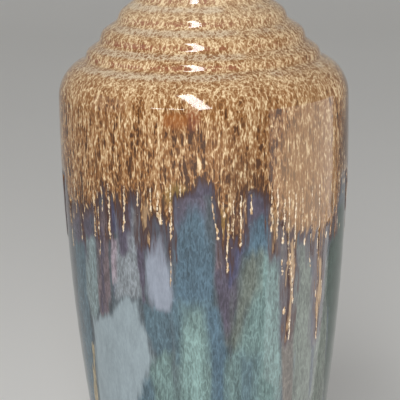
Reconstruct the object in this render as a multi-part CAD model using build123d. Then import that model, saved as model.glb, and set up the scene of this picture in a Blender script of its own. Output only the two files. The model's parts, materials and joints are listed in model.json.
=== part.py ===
from build123d import *
from math import acos, atan2, cos, dist, hypot, pi, radians, sin, sqrt, tan
import os

# Bottle vase, thrown in sections, joined and glazed, in millimetres.
# The origin is the centre of the foot where it stands, and the mouth points along +Z.
# Places round the wall run from -Y, the front, towards +X.

# Overall clay form
height = 350.0  # over the glaze on the lip
belly_drop = 110.0  # from the top down to where the long curved wall ends
belly_radius = 73.8
belly_straight = 5.5
corner_radius = 19.5
corner_turn = 66.0  # degrees from the upright wall towards the first throwing ring
corner_run = 2.5  # straight from the corner to the first crease
wall_foot_radius = 49.2

# Dome with its throwing rings, which step from a steep face over a crest to a gentle slope
dome_drop = 46.4  # from the top down to where the neck grows out of the last ring
dome_top_radius = 25.5
ring_shares = (0.90, 1.07, 1.08, 0.95)  # pitch of each ring, of an even pitch
ring_bulge = 2.0  # how far a crest stands out
ring_bulge_shares = (1.0, 1.3, 1.0, 0.7)
crest_share = 0.33  # place of a crest from one crease to the next
crest_round = 5.6
crease_round = 2.4
round_share = 0.48  # most of a straight stretch that the round at its end may take

# Neck and lip
neck_drop = 28.0  # from the top down to the waist
neck_radius = 14.5
neck_straight = 8.0
bore_radius = 11.0
lip_radius = 20.5
lip_round = 2.4

# Thickness of the thrown clay
floor_thickness = 8.0
floor_round = 16.0
wall_foot_thickness = 7.0
wall_middle_thickness = 6.0
wall_belly_thickness = 5.0

# Turned foot
foot_height = 6.0
foot_radius = 46.0
foot_width = 7.0
foot_taper = 1.2
foot_bevel = 1.4
wall_bevel_rise = 3.4

# Seam between the two large thrown sections
seam_drop = 12.0  # from the belly down to the seam
seam_rise = 4.0

# Glaze coats
liner_coat = 0.4
base_coat = 0.5
run_coat = 1.2
crease_pool = 0.35  # extra glaze lying in a crease
bare_band = 2.5  # clay left bare above the foot
base_top_drop = 24.0  # from the belly down to the base coat's upper edge
lap_clearance = 0.1  # between the two outside coats where they lap

# Runs of the upper glaze, which hangs in lobes that end in narrow runs
run_drop = 34.0  # from the belly down to the arches between the lobes
run_width = 4.0
run_length = 40.0
run_taper_share = 0.75
tip_round_share = 0.9
bend_share = 0.45  # largest radius at a root or tip, as a share of the length
# Place as a share of a turn from the front, then width and length as shares of a run's
lobe_shares = (
    (-0.480, 10.0, 0.30),
    (-0.385, 8.0, 0.42),
    (-0.285, 12.5, 0.26),
    (-0.167, 11.1, 0.275),
    (-0.094, 2.3, 0.15),
    (-0.051, 4.25, 0.25),
    (0.025, 4.6, 0.52),
    (0.131, 15.0, 0.60),
    (0.242, 7.0, 0.22),
    (0.330, 9.5, 0.38),
    (0.425, 6.5, 0.24),
)
run_shares = (
    (-0.508, 1.0, 0.62),
    (-0.478, 1.4, 1.30),
    (-0.452, 0.9, 0.74),
    (-0.405, 1.1, 0.82),
    (-0.378, 1.5, 1.55),
    (-0.355, 0.9, 0.70),
    (-0.318, 1.0, 0.66),
    (-0.290, 1.3, 1.05),
    (-0.262, 0.9, 0.58),
    (-0.232, 1.2, 0.86),
    (-0.198, 0.9, 0.60),
    (-0.164, 1.1, 0.70),
    (-0.134, 0.9, 0.62),
    (-0.117, 1.0, 0.60),
    (-0.096, 0.9, 0.42),
    (-0.066, 1.6, 0.63),
    (-0.040, 1.1, 0.83),
    (0.020, 1.2, 0.98),
    (0.037, 1.3, 0.65),
    (0.077, 1.2, 0.80),
    (0.099, 1.4, 1.98),
    (0.116, 1.0, 0.68),
    (0.131, 0.9, 0.92),
    (0.148, 1.3, 2.00),
    (0.167, 0.9, 0.72),
    (0.182, 1.0, 0.71),
    (0.228, 1.0, 0.56),
    (0.250, 1.2, 0.92),
    (0.305, 1.0, 0.70),
    (0.328, 1.4, 1.42),
    (0.352, 0.9, 0.78),
    (0.418, 1.1, 0.96),
    (0.438, 0.9, 0.52),
)
overrun = 4.0  # how far a cutting shape passes the coat

# Values worked out from the sizes above
lip_centre_radius = lip_radius - lip_round
mouth_round = lip_centre_radius - bore_radius
mouth_level = height - run_coat - mouth_round
lip_level = height - run_coat - lip_round
neck_level = height - neck_drop
flare_level = neck_level + neck_straight
belly_level = height - belly_drop
seam_level = belly_level - seam_drop
base_top_level = belly_level - base_top_drop
run_level = belly_level - run_drop
corner_level = belly_level + belly_straight
corner_centre = (belly_radius - corner_radius, corner_level)
floor_level = foot_height + floor_thickness
floor_round_level = floor_level + floor_round
wall_middle_level = (floor_round_level + belly_level) / 2
wall_drop = belly_radius - wall_foot_radius
wall_rise = belly_level - foot_height
wall_curve = (wall_rise**2 + wall_drop**2) / (2 * wall_drop)
glaze_line = foot_height + wall_bevel_rise + bare_band
run_low_level = run_level - run_length * max(length for _, _, length in run_shares)


def moved(point, direction, distance):
    return (point[0] + direction[0] * distance, point[1] + direction[1] * distance)


def on_circle(centre, size, turn):
    return (centre[0] + size * cos(turn), centre[1] + size * sin(turn))


def heading(first, second):
    """Direction of length 1 from one point to another."""
    length = dist(first, second)
    return ((second[0] - first[0]) / length, (second[1] - first[1]) / length)


# The dome's slope, from the first crease up to the neck, and the direction square to it
corner_end = on_circle(corner_centre, corner_radius, radians(corner_turn))
dome_foot = moved(corner_end, on_circle((0, 0), 1, radians(corner_turn) + pi / 2), corner_run)
dome_top = (dome_top_radius, height - dome_drop)
dome_length = dist(dome_foot, dome_top)
uphill = heading(dome_foot, dome_top)
dome_normal = (uphill[1], -uphill[0])


def arc(centre, size, first, last):
    """Part of a circle between two turns in radians."""
    ends = (on_circle(centre, size, first), on_circle(centre, size, last))
    return ThreePointArc(ends[0], on_circle(centre, size, (first + last) / 2), ends[1])


# Outer surface: each chain runs up the vase, over the clay or a coat of the given depth


def wall_radius(level, coat=0):
    return belly_radius - wall_curve + sqrt((wall_curve + coat) ** 2 - (belly_level - level) ** 2)


def wall_chain(low, high, coat):
    levels = (low, (low + high) / 2, high)
    return [ThreePointArc(*[(wall_radius(level, coat), level) for level in levels])]


def belly_chain(coat):
    foot = (belly_radius + coat, belly_level)
    corner_foot = (belly_radius + coat, corner_level)
    return [Line(foot, corner_foot), arc(corner_centre, corner_radius + coat, 0, radians(corner_turn))]


def ring_points(coat):
    """Corners of the stepped line over the dome: creases and crests in turn, then the neck's foot."""
    points = [corner_end, dome_foot]
    for pitch_share, bulge_share in zip(ring_shares, ring_bulge_shares):
        pitch = dome_length * pitch_share / sum(ring_shares)
        crease = points[-1]
        crest = moved(moved(crease, uphill, pitch * crest_share), dome_normal, ring_bulge * bulge_share)
        points += [crest, moved(crease, uphill, pitch)]
    return outside_points(points, coat)


def outside_points(points, coat):
    """Corners of the line that runs a coat's depth outside another."""
    headings = [heading(first, second) for first, second in zip(points, points[1:])]
    normals = [(up, -across) for across, up in headings]
    raised = [moved(points[0], normals[0], coat)]
    for corner, low, high in zip(points[1:], normals, normals[1:]):
        stretch = coat / (1 + low[0] * high[0] + low[1] * high[1])
        raised.append(moved(moved(corner, low, stretch), high, stretch))
    return raised + [moved(points[-1], normals[-1], coat)]


def rounded_chain(points, rounds):
    """Straight stretches between points, with a round at each corner that fits between its neighbours."""
    chain = []
    start = points[0]
    for before, corner, after, size in zip(points, points[1:], points[2:], rounds):
        back = heading(corner, before)
        ahead = heading(corner, after)
        half_turn = acos(back[0] * ahead[0] + back[1] * ahead[1]) / 2
        room = round_share * min(dist(before, corner), dist(corner, after))
        cut = min(size / tan(half_turn), room)
        inward = heading((0, 0), moved(back, ahead, 1))
        middle = moved(corner, inward, cut / cos(half_turn) - cut * tan(half_turn))
        first = moved(corner, back, cut)
        last = moved(corner, ahead, cut)
        chain += [Line(start, first), ThreePointArc(first, middle, last)]
        start = last
    return chain + [Line(start, points[-1])]


def ring_chain(coat):
    crease_size = crease_round - coat + crease_pool if coat else crease_round
    return rounded_chain(ring_points(coat), [crease_size, crest_round + coat] * len(ring_shares))


def neck_sweep(coat):
    """Centre, size and turn of the hollow curve from the last ring up to the upright neck."""
    foot = ring_points(coat)[-1]
    across = foot[0] - neck_radius - coat
    size = (across**2 + (neck_level - foot[1]) ** 2) / (2 * across)
    return (neck_radius + coat + size, neck_level), size, acos((size - across) / size)


def neck_chain(coat):
    centre, size, turn = neck_sweep(coat)
    waist = (neck_radius + coat, neck_level)
    return [arc(centre, size, pi + turn, pi), Line(waist, (waist[0], flare_level))]


def lip_chain(coat):
    """The flare under the lip, tangent to the lip's round edge, and the edge up to its top."""
    edge = lip_round + coat
    across = neck_radius + coat - lip_centre_radius
    rise = lip_level - flare_level
    flare = (across**2 + rise**2 - edge**2) / (2 * (edge - across))
    flare_centre = (neck_radius + coat + flare, flare_level)
    turn = atan2(rise, across + flare)
    lip_centre = (lip_centre_radius, lip_level)
    return [arc(flare_centre, flare, pi, pi - turn), arc(lip_centre, edge, -turn, pi / 2)]


def mouth_chain(coat, bore_coat):
    """Over the lip and down to the bore, where a coat thins to the coat inside."""
    centre = (lip_centre_radius, mouth_level)
    top = on_circle(centre, mouth_round + coat, pi / 2)
    middle = on_circle(centre, mouth_round + (coat + bore_coat) / 2, pi * 3 / 4)
    return [ThreePointArc(top, middle, (bore_radius - bore_coat, mouth_level))]


# Inner surface: each chain runs up the vase, over the clay or a coat of the given depth


def inner_wall_point(level, coat):
    """A point of the inside wall, straight up to its middle and straight on to the belly."""
    ends = (
        (floor_round_level, wall_radius(floor_round_level) - wall_foot_thickness),
        (wall_middle_level, wall_radius(wall_middle_level) - wall_middle_thickness),
        (belly_level, belly_radius - wall_belly_thickness),
    )
    low, high = ends[:2] if level <= wall_middle_level else ends[1:]
    share = (level - low[0]) / (high[0] - low[0])
    return (low[1] + (high[1] - low[1]) * share - coat, level)


def floor_chain(coat):
    wall_foot = inner_wall_point(floor_round_level, coat)
    centre = (wall_foot[0] - floor_round + coat, floor_round_level)
    floor_end = (centre[0], floor_level + coat)
    return [Line((0, floor_end[1]), floor_end), arc(centre, floor_round - coat, -pi / 2, 0)]


def inner_wall_chain(low, high, coat):
    levels = [low, high]
    if low < wall_middle_level < high:
        levels.insert(1, wall_middle_level)
    points = [inner_wall_point(level, coat) for level in levels]
    return [Line(first, second) for first, second in zip(points, points[1:])]


def dome_sweeps(coat):
    """The belly corner and the throat inside, as circles, and the turn of their common tangent."""
    corner_size = corner_radius - wall_belly_thickness - coat
    throat_centre, throat_size, _ = neck_sweep(0)
    throat_size += neck_radius - bore_radius + coat
    across = throat_centre[0] - corner_centre[0]
    rise = throat_centre[1] - corner_centre[1]
    turn = atan2(rise, across) - acos((corner_size + throat_size) / hypot(across, rise))
    return (corner_centre, corner_size), (throat_centre, throat_size), turn


def inner_dome_chain(coat):
    corner, throat, turn = dome_sweeps(coat)
    foot = inner_wall_point(belly_level, coat)
    corner_arc = arc(*corner, 0, turn)
    return [Line(foot, corner_arc @ 0), corner_arc, Line(corner_arc @ 1, on_circle(*throat, pi + turn))]


def inner_neck_chain(coat):
    _, throat, turn = dome_sweeps(coat)
    waist = (bore_radius - coat, neck_level)
    return [arc(*throat, pi + turn, pi), Line(waist, (waist[0], mouth_level))]


def turned(outer, inner):
    """Turn the section between two chains, closed straight across wherever their ends are apart."""
    edges = outer + inner
    for first, second in ((outer[0] @ 0, inner[0] @ 0), (outer[-1] @ 1, inner[-1] @ 1)):
        if first != second:
            edges.append(Line(first, second))
    return revolve(Plane.XZ * make_face(edges), Axis.Z)


def polyline_chain(*points):
    return [Line(first, second) for first, second in zip(points, points[1:])]


# Thrown and turned clay


def make_foot_ring():
    inside = foot_radius - foot_width
    outer = polyline_chain(
        (inside + foot_bevel, 0),
        (foot_radius - foot_taper - foot_bevel, 0),
        (foot_radius - foot_taper, foot_bevel),
        (foot_radius, foot_height),
    )
    inner = polyline_chain((inside + foot_bevel, 0), (inside, foot_bevel), (inside, foot_height))
    return turned(outer, inner)


def make_body_wall():
    bevel_top = foot_height + wall_bevel_rise
    bevel = polyline_chain((0, foot_height), (foot_radius, foot_height), (wall_radius(bevel_top), bevel_top))
    outer = bevel + wall_chain(bevel_top, seam_level, 0)
    inner = floor_chain(0) + inner_wall_chain(floor_round_level, seam_level + seam_rise, 0)
    return turned(outer, inner)


def make_shoulder():
    outer = wall_chain(seam_level, belly_level, 0) + belly_chain(0) + ring_chain(0)
    inner = inner_wall_chain(seam_level + seam_rise, belly_level, 0) + inner_dome_chain(0)
    return turned(outer, inner)


def make_neck():
    return turned(neck_chain(0) + lip_chain(0) + mouth_chain(0, 0), inner_neck_chain(0))


# Glaze coats


def inside_chain(coat):
    wall = inner_wall_chain(floor_round_level, belly_level, coat)
    return floor_chain(coat) + wall + inner_dome_chain(coat) + inner_neck_chain(coat)


def make_liner_glaze():
    return turned(inside_chain(0), inside_chain(liner_coat))


def make_base_glaze():
    outer = wall_chain(glaze_line + base_coat, base_top_level, base_coat)
    return turned(outer, wall_chain(glaze_line, base_top_level, 0))


def run_prism(place, width_share, length_share):
    """A radial block with the outline of one run, flared at its root and round at its tip."""
    half = run_width * width_share / 2
    tip = half * run_taper_share
    length = run_length * length_share
    root_round = min(half, length * bend_share)
    tip_round = min(tip * tip_round_share, length * bend_share)
    side = half + root_round
    corners = [(side, overrun), (side, 0), (half, 0), (tip, -length)]
    rounds = [0, 0, root_round, tip_round]
    mirrored = [(-across, up) for across, up in reversed(corners)]
    outline = make_face(FilletPolyline(*corners, *mirrored, radius=rounds + rounds[::-1], close=True))
    reach = wall_radius(run_low_level) - 2 * overrun
    block = extrude(Plane.XZ.offset(reach) * Pos(0, run_level) * outline, belly_radius + overrun - reach)
    return Rot(0, 0, place * 360) * block


def make_run_glaze():
    over_wall = wall_chain(base_top_level, belly_level, 0)
    over_base = wall_chain(run_low_level, base_top_level, base_coat + lap_clearance)
    step = [Line(over_base[0] @ 1, over_wall[0] @ 0)]
    inner = over_base + step + over_wall + belly_chain(0) + ring_chain(0)
    inner += neck_chain(0) + lip_chain(0) + mouth_chain(0, 0)
    outer = wall_chain(run_low_level, belly_level, run_coat) + belly_chain(run_coat)
    outer += ring_chain(run_coat) + neck_chain(run_coat) + lip_chain(run_coat)
    outer += mouth_chain(run_coat, liner_coat)
    coat = turned(outer, inner)
    depth = run_level - run_low_level + overrun
    zone = Pos(0, 0, run_level - depth / 2) * Cylinder(belly_radius + overrun, depth)
    runs = [run_prism(*shares) for shares in lobe_shares + run_shares]
    return coat - (zone - runs)


os.makedirs("parts", exist_ok=True)
nodes = {
    "foot_ring": make_foot_ring,
    "body_wall": make_body_wall,
    "shoulder": make_shoulder,
    "neck": make_neck,
    "liner_glaze": make_liner_glaze,
    "base_glaze": make_base_glaze,
    "run_glaze": make_run_glaze,
}
for name, make in nodes.items():
    solid = make()
    solid.label = name
    export_step(solid, f"parts/{name}.step")
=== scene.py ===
import json
import math
import random

import bmesh
import bpy
import numpy as np
from mathutils import Matrix, Vector, noise

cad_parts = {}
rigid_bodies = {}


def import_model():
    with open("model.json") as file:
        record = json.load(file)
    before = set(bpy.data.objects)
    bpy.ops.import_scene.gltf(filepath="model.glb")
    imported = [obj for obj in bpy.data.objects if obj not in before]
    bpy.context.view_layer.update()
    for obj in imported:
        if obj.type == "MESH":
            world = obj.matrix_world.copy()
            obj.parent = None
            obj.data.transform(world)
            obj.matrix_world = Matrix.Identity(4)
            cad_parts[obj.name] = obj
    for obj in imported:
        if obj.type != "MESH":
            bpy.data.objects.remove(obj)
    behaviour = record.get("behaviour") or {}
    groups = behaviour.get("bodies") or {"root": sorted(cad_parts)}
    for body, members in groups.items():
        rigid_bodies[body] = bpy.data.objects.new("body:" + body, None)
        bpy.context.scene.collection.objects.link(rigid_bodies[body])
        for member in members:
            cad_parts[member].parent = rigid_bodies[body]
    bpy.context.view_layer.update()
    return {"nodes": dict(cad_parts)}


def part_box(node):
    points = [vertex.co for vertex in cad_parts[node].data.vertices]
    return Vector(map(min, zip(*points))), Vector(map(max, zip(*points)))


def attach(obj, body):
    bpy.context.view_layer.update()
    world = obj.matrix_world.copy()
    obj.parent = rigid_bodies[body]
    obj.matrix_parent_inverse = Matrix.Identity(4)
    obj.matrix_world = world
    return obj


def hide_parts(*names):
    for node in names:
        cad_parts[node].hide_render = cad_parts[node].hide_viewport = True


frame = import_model()

bl_info = {
    "name": "Run-glazed bottle vase",
    "version": (1, 0, 0),
    "blender": (4, 5, 0),
    "location": "3D View > Sidebar > Vase",
    "description": "Dresses the clay frame of a bottle vase in its glazes and sets up the studio",
    "category": "Add Mesh",
}

MM = 0.001
FAR = 1e9
RUN_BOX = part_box("run_glaze")
BASE_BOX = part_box("base_glaze")
FOOT_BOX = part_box("foot_ring")


def paint(red, green, blue):
    """A colour as it is given, from 0 to 255, in the linear values that shaders take."""
    shares = [value / 255 for value in (red, green, blue)]
    return tuple(
        share / 12.92 if share <= 0.04045 else ((share + 0.055) / 1.055) ** 2.4 for share in shares
    )


def size(name, description, default):
    return bpy.props.FloatProperty(
        name=name, description=description, default=default, unit="LENGTH", precision=5
    )


def turn(name, description, default):
    """An angle, given in degrees here and held in radians."""
    return bpy.props.FloatProperty(
        name=name, description=description, default=math.radians(default), unit="ROTATION"
    )


def share(name, description, default):
    return bpy.props.FloatProperty(name=name, description=description, default=default, subtype="FACTOR")


def count(name, description, default):
    return bpy.props.IntProperty(name=name, description=description, default=default, min=3)


def colour(name, description, *mixed):
    return bpy.props.FloatVectorProperty(
        name=name, description=description, default=paint(*mixed), subtype="COLOR", size=3, min=0, max=1
    )


# Sizes and colours that a user would change


class VaseForm(bpy.types.PropertyGroup):
    """The clay form under the glaze, as it was thrown."""

    height: size("Height", "Top of the glaze on the lip", RUN_BOX[1].z)
    belly_drop: size("Belly drop", "From the top down to where the long wall ends", 110 * MM)
    belly_radius: size("Belly radius", "Clay at its widest", RUN_BOX[1].x - 1.2 * MM)
    belly_straight: size("Belly straight", "Upright stretch over the long wall", 5.5 * MM)
    corner_radius: size("Corner radius", "Round from the wall onto the dome", 19.5 * MM)
    corner_turn: turn("Corner turn", "How far the corner turns before the first throwing ring", 66)
    corner_run: size("Corner run", "Straight from the corner to the first crease", 2.5 * MM)
    wall_foot_radius: size("Wall foot radius", "Clay at the bottom of the long wall", 49.2 * MM)
    foot_height: size("Foot height", "Top of the foot ring", FOOT_BOX[1].z)
    dome_drop: size("Dome drop", "From the top down to the last throwing ring", 46.4 * MM)
    dome_top_radius: size("Dome top radius", "Clay at the last throwing ring", 25.5 * MM)
    ring_bulge: size("Ring bulge", "How far a throwing ring's crest stands out", 2 * MM)
    crest_share: share("Crest share", "Place of a crest from one crease to the next", 0.33)
    crest_round: size("Crest round", "Round over a crest", 5.6 * MM)
    crease_round: size("Crease round", "Round in a crease", 2.4 * MM)
    neck_drop: size("Neck drop", "From the top down to the waist", 28 * MM)
    neck_radius: size("Neck radius", "Clay at the waist", 14.5 * MM)
    neck_straight: size("Neck straight", "Upright stretch over the waist", 8 * MM)
    bore_radius: size("Bore radius", "Inside of the neck", 11 * MM)
    lip_radius: size("Lip radius", "Clay at the lip", 20.5 * MM)
    lip_round: size("Lip round", "Half the thickness of the lip", 2.4 * MM)


class VaseGlaze(bpy.types.PropertyGroup):
    """How thick the glazes lie and where they end."""

    run_coat: size("Run coat", "Upper glaze over bare clay", 1.2 * MM)
    base_coat: size("Base coat", "Blue-green glaze on the wall", 0.5 * MM)
    liner_coat: size("Liner coat", "Glaze inside", 0.4 * MM)
    crease_pool: size("Crease pool", "Extra glaze lying in a crease", 2.8 * MM)
    lap: size("Lap", "Between the two glazes where they lap", 0.02 * MM)
    base_top: size("Base top", "Upper edge of the blue-green glaze", BASE_BOX[1].z)
    glaze_line: size("Glaze line", "Lower edge of the blue-green glaze", BASE_BOX[0].z)
    arch_level: size("Arch level", "Top of the arches between the lobes", 206 * MM)
    thin_edge: size("Thin edge", "Width over which the upper glaze thins out", 3.5 * MM)
    rim_roll: size("Rim roll", "Extra glaze that rolled up at the glaze line", 0.35 * MM)
    sectors: count("Sectors", "Doublings that close the turn, from one sector to the whole vase", 4)
    sector_steps: count("Sector steps", "Steps round one sector", 36)


class VaseColours(bpy.types.PropertyGroup):
    """The palette of the glazes and the clay."""

    cream: colour("Cream", "Brightest strands of the upper glaze", 234, 208, 166)
    straw: colour("Straw", "Duller strands", 188, 151, 108)
    amber: colour("Amber", "Body of the upper glaze", 138, 90, 44)
    brown: colour("Brown", "Holes between the strands", 72, 42, 18)
    rust: colour("Rust", "Where the glaze breaks over a throwing ring", 142, 78, 54)
    ash: colour("Ash", "Where the glaze pools under a throwing ring", 211, 196, 172)
    plum: colour("Plum", "Where the upper glaze thins over the lower one", 66, 42, 38)
    violet: colour("Violet", "Halo below the thinned edge", 76, 68, 82)
    bead: colour("Bead", "Bright trickles that hang from the edge", 236, 218, 190)
    honey: colour("Honey", "Smooth spots of the upper glaze", 158, 92, 42)
    fawn: colour("Fawn", "Calmer stretch of the upper glaze", 140, 106, 68)
    sand: colour("Sand", "Paler runs of the upper glaze", 158, 130, 98)
    olive: colour("Olive", "Greener spots of the upper glaze", 132, 108, 48)
    slate: colour("Slate", "Ground of the lower glaze", 70, 78, 84)
    dusk: colour("Dusk", "Purple grey under the upper glaze", 78, 72, 86)
    indigo: colour("Indigo", "Deep blue blotches", 66, 66, 92)
    steel: colour("Steel", "Blue of the great arch", 74, 96, 110)
    teal: colour("Teal", "Darker blue-green", 78, 98, 108)
    aqua: colour("Aqua", "Paler blue-green", 102, 124, 122)
    mint: colour("Mint", "Palest green", 118, 143, 140)
    sage: colour("Sage", "Grey-green", 95, 102, 95)
    pewter: colour("Pewter", "Bluish grey", 122, 128, 133)
    # Dark green of a thin streak on the left, and painted shade down the right side of the lower glaze
    bottle_and_shade: colour("Bottle green", "Dark green on the right", 52, 66, 60)
    lilac: colour("Lilac", "Smooth cloud", 140, 147, 160)
    mist: colour("Mist", "Large pale cloud", 144, 157, 163)
    mauve: colour("Mauve", "Brown-purple streaks", 100, 87, 91)
    wine: colour("Wine", "Red-brown purple", 84, 66, 68)
    haze: colour("Haze", "Pale grey teal", 116, 130, 132)
    blush: colour("Blush", "Pinkish streaks", 142, 130, 138)
    taupe: colour("Taupe", "Brownish streaks", 98, 92, 86)
    ochre: colour("Ochre", "Sandy streak", 160, 146, 116)
    clay: colour("Clay", "Fired stoneware", 178, 148, 118)
    toast: colour("Toast", "Clay flashed next to the glaze", 150, 96, 62)
    liner: colour("Liner", "Brown glaze inside", 92, 62, 38)


class VaseStudio(bpy.types.PropertyGroup):
    """Camera, lamps, floor and backdrop."""

    distance: size("Camera distance", "From the vase's axis", 1.1)
    pitch: turn("Camera pitch", "How far the camera looks down", 11.8)
    roll: turn("Camera roll", "Tilt of the camera", 0.95)
    aim_level: size("Aim level", "Level on the axis in the middle of the picture", 189 * MM)
    aside: size("Aside", "How far the camera aims to the left of the axis", 2.8 * MM)
    picture_width: size("Picture width", "Width of the picture at the vase's axis", 209.4 * MM)
    lamp_distance: size("Lamp distance", "From the shoulder to the tall soft box", 1.5)
    lamp_width: size("Lamp width", "Width of the tall soft box", 0.25)
    bar_width: size("Bar width", "Width of the two lying lamps beside the soft box", 0.05)
    window_distance: size("Window distance", "From the axis to the low window", 0.2)
    window_height: size("Window height", "Height of the low window over the floor", 0.25)
    backdrop: colour("Backdrop", "Floor and backdrop", 238, 237, 234)


PLACES = {"form": VaseForm, "glaze": VaseGlaze, "colours": VaseColours, "studio": VaseStudio}


def settings(name):
    return getattr(bpy.context.scene, "vase_" + name)


# Outline of the vase, running up the outside, as chains of lines (two points) and arcs (three points).
# A point is a complex number: how far out it is, and how high.


def on_circle(centre, radius, angle):
    return centre + radius * complex(math.cos(angle), math.sin(angle))


def arc_between(centre, radius, first, last):
    return tuple(on_circle(centre, radius, angle) for angle in (first, (first + last) / 2, last))


def belly_level(form):
    return form.height - form.belly_drop


def wall_radius(form, level, coat):
    """Outside radius of the long wall, which is one slow arc, under a coat of the given depth."""
    drop = form.belly_radius - form.wall_foot_radius
    rise = belly_level(form) - form.foot_height
    curve = (rise**2 + drop**2) / (2 * drop)
    return form.belly_radius - curve + np.sqrt((curve + coat) ** 2 - (belly_level(form) - level) ** 2)


# Pitch of each throwing ring and how far it stands out, as shares
RING_SHARES = (0.90, 1.07, 1.08, 0.95)
BULGE_SHARES = (1.0, 1.3, 1.0, 0.7)
ROUND_SHARE = 0.48


def heading(first, second):
    return (second - first) / abs(second - first)


def corner_centre(form):
    return complex(form.belly_radius - form.corner_radius, belly_level(form) + form.belly_straight)


def ring_points(form, coat):
    """Corners of the stepped line over the dome: creases and crests in turn, then the neck's foot."""
    corner_end = on_circle(corner_centre(form), form.corner_radius, form.corner_turn)
    foot = corner_end + form.corner_run * on_circle(0, 1, form.corner_turn + math.pi / 2)
    top = complex(form.dome_top_radius, form.height - form.dome_drop)
    points = [corner_end, foot]
    for pitch_share, bulge_share in zip(RING_SHARES, BULGE_SHARES):
        climb = (top - foot) * pitch_share / sum(RING_SHARES)
        out = heading(foot, top) * -1j * form.ring_bulge * bulge_share
        points += [points[-1] + climb * form.crest_share + out, points[-1] + climb]
    normals = [heading(low, high) * -1j for low, high in zip(points, points[1:])]
    raised = [points[0] + normals[0] * coat]
    for corner, low, high in zip(points[1:], normals, normals[1:]):
        raised.append(corner + (low + high) * coat / (1 + (low * high.conjugate()).real))
    return raised + [points[-1] + normals[-1] * coat]


def rounded_chain(points, rounds):
    """Straight stretches between points, with a round at each corner that fits between its neighbours."""
    chain = []
    start = points[0]
    for before, corner, after, size in zip(points, points[1:], points[2:], rounds):
        back, ahead = heading(corner, before), heading(corner, after)
        half_turn = math.acos((back * ahead.conjugate()).real) / 2
        room = ROUND_SHARE * min(abs(before - corner), abs(after - corner))
        cut = min(size / math.tan(half_turn), room)
        inward = heading(0, back + ahead) * cut
        middle = corner + inward * (1 / math.cos(half_turn) - math.tan(half_turn))
        first, last = corner + back * cut, corner + ahead * cut
        chain += [(start, first), (first, middle, last)]
        start = last
    return chain + [(start, points[-1])]


def dome_chain(form, coat, pool):
    """From the top of the long wall over the belly's corner and the throwing rings."""
    centre = corner_centre(form)
    side = form.belly_radius + coat
    chain = [(complex(side, belly_level(form)), complex(side, centre.imag))]
    chain.append(arc_between(centre, form.corner_radius + coat, 0, form.corner_turn))
    crease_size = form.crease_round - coat + pool if coat else form.crease_round
    rounds = [crease_size, form.crest_round + coat] * len(RING_SHARES)
    return chain + rounded_chain(ring_points(form, coat), rounds)


def neck_chain(form, coat, bore_coat):
    """From the last ring up the neck, over the lip and down into the bore."""
    foot = ring_points(form, coat)[-1]
    waist = complex(form.neck_radius + coat, form.height - form.neck_drop)
    across = foot.real - waist.real
    sweep = (across**2 + (waist.imag - foot.imag) ** 2) / (2 * across)
    sweep_turn = math.acos((sweep - across) / sweep)
    flare_foot = waist + form.neck_straight * 1j
    chain = [arc_between(waist + sweep, sweep, math.pi + sweep_turn, math.pi), (waist, flare_foot)]
    top = form.height - settings("glaze").run_coat
    lip_centre = complex(form.lip_radius - form.lip_round, top - form.lip_round)
    edge = form.lip_round + coat
    inset = waist.real - lip_centre.real
    rise = lip_centre.imag - flare_foot.imag
    flare = (inset**2 + rise**2 - edge**2) / (2 * (edge - inset))
    flare_turn = math.atan2(rise, inset + flare)
    chain.append(arc_between(flare_foot + flare, flare, math.pi, math.pi - flare_turn))
    chain.append(arc_between(lip_centre, edge, -flare_turn, math.pi / 2))
    mouth_round = lip_centre.real - form.bore_radius
    mouth = complex(lip_centre.real, top - mouth_round)
    middle = on_circle(mouth, mouth_round + (coat + bore_coat) / 2, math.pi * 3 / 4)
    bore = complex(form.bore_radius - bore_coat, mouth.imag)
    chain.append((on_circle(mouth, mouth_round + coat, math.pi / 2), middle, bore))
    return chain


def even_steps(first, last, steps):
    """Values or points from the first to the last in even steps, with both of them."""
    return [first + (last - first) * step / steps for step in range(steps + 1)]


def points_along(chain, spacing, least):
    """Points along a chain, about a spacing apart and with a least number of steps in an arc."""
    points = [chain[0][0]]
    for piece in chain:
        if len(piece) == 2:
            steps = max(1, math.ceil(abs(piece[1] - piece[0]) / spacing))
            points += even_steps(*piece, steps)[1:]
        else:
            first, middle, last = piece
            ratio = (last - first) / (middle - first)
            centre = first + (middle - first) * (ratio - abs(ratio) ** 2) / (2j * ratio.imag)
            halves = ((middle - centre) / (first - centre), (last - centre) / (middle - centre))
            sweep = sum(math.atan2(half.imag, half.real) for half in halves)
            steps = max(least, math.ceil(abs(sweep) * abs(first - centre) / spacing))
            arm = first - centre
            points += [centre + arm * on_circle(0, 1, angle) for angle in even_steps(0, sweep, steps)[1:]]
    return [(point.real, point.imag) for point in points]


def wall_points(form, levels, coat):
    """Points of the long wall at each level, under a coat of the given depth."""
    return [(wall_radius(form, level, coat), level) for level in levels]


# Where the upper glaze ran: turns in degrees from the front towards the right, levels in mm

# Lobes: turn, half width in degrees, lowest level
LOBES = (
    (-172, 13, 195), (-138, 11, 190), (-103, 14, 196), (-60, 17, 195), (-34, 3.6, 199), (-18.5, 6.6, 195),
    (9.2, 7, 185), (47, 23, 182), (88, 10, 194), (119, 12, 190), (152, 9, 196),
)
# Runs: turn, width in mm, lowest level
RUNS = (
    (-172, 5.6, 154), (-163, 3.6, 176), (-146, 4.4, 173), (-136, 6, 144), (-128, 3.6, 178),
    (-114, 4, 180), (-104, 5.2, 164), (-94, 3.6, 183), (-84, 4.8, 172), (-71, 3.6, 182), (-59, 4.4, 178),
    (-48, 3.6, 181), (-42, 4, 182), (-34.6, 3.6, 189), (-24, 6.4, 180), (-14, 4.4, 172), (7, 4.8, 166),
    (13.3, 5.2, 180), (28, 4.8, 174), (35.7, 5.6, 127), (41.8, 4, 179), (47, 3.6, 169), (53.3, 5.2, 126),
    (60, 3.6, 177), (65.5, 4, 177), (82, 4, 184), (90, 4.8, 169), (110, 4, 178), (118, 5.6, 149),
    (127, 3.6, 175), (150, 4.4, 168), (158, 3.6, 185), (177, 4, 181),
)


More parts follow.
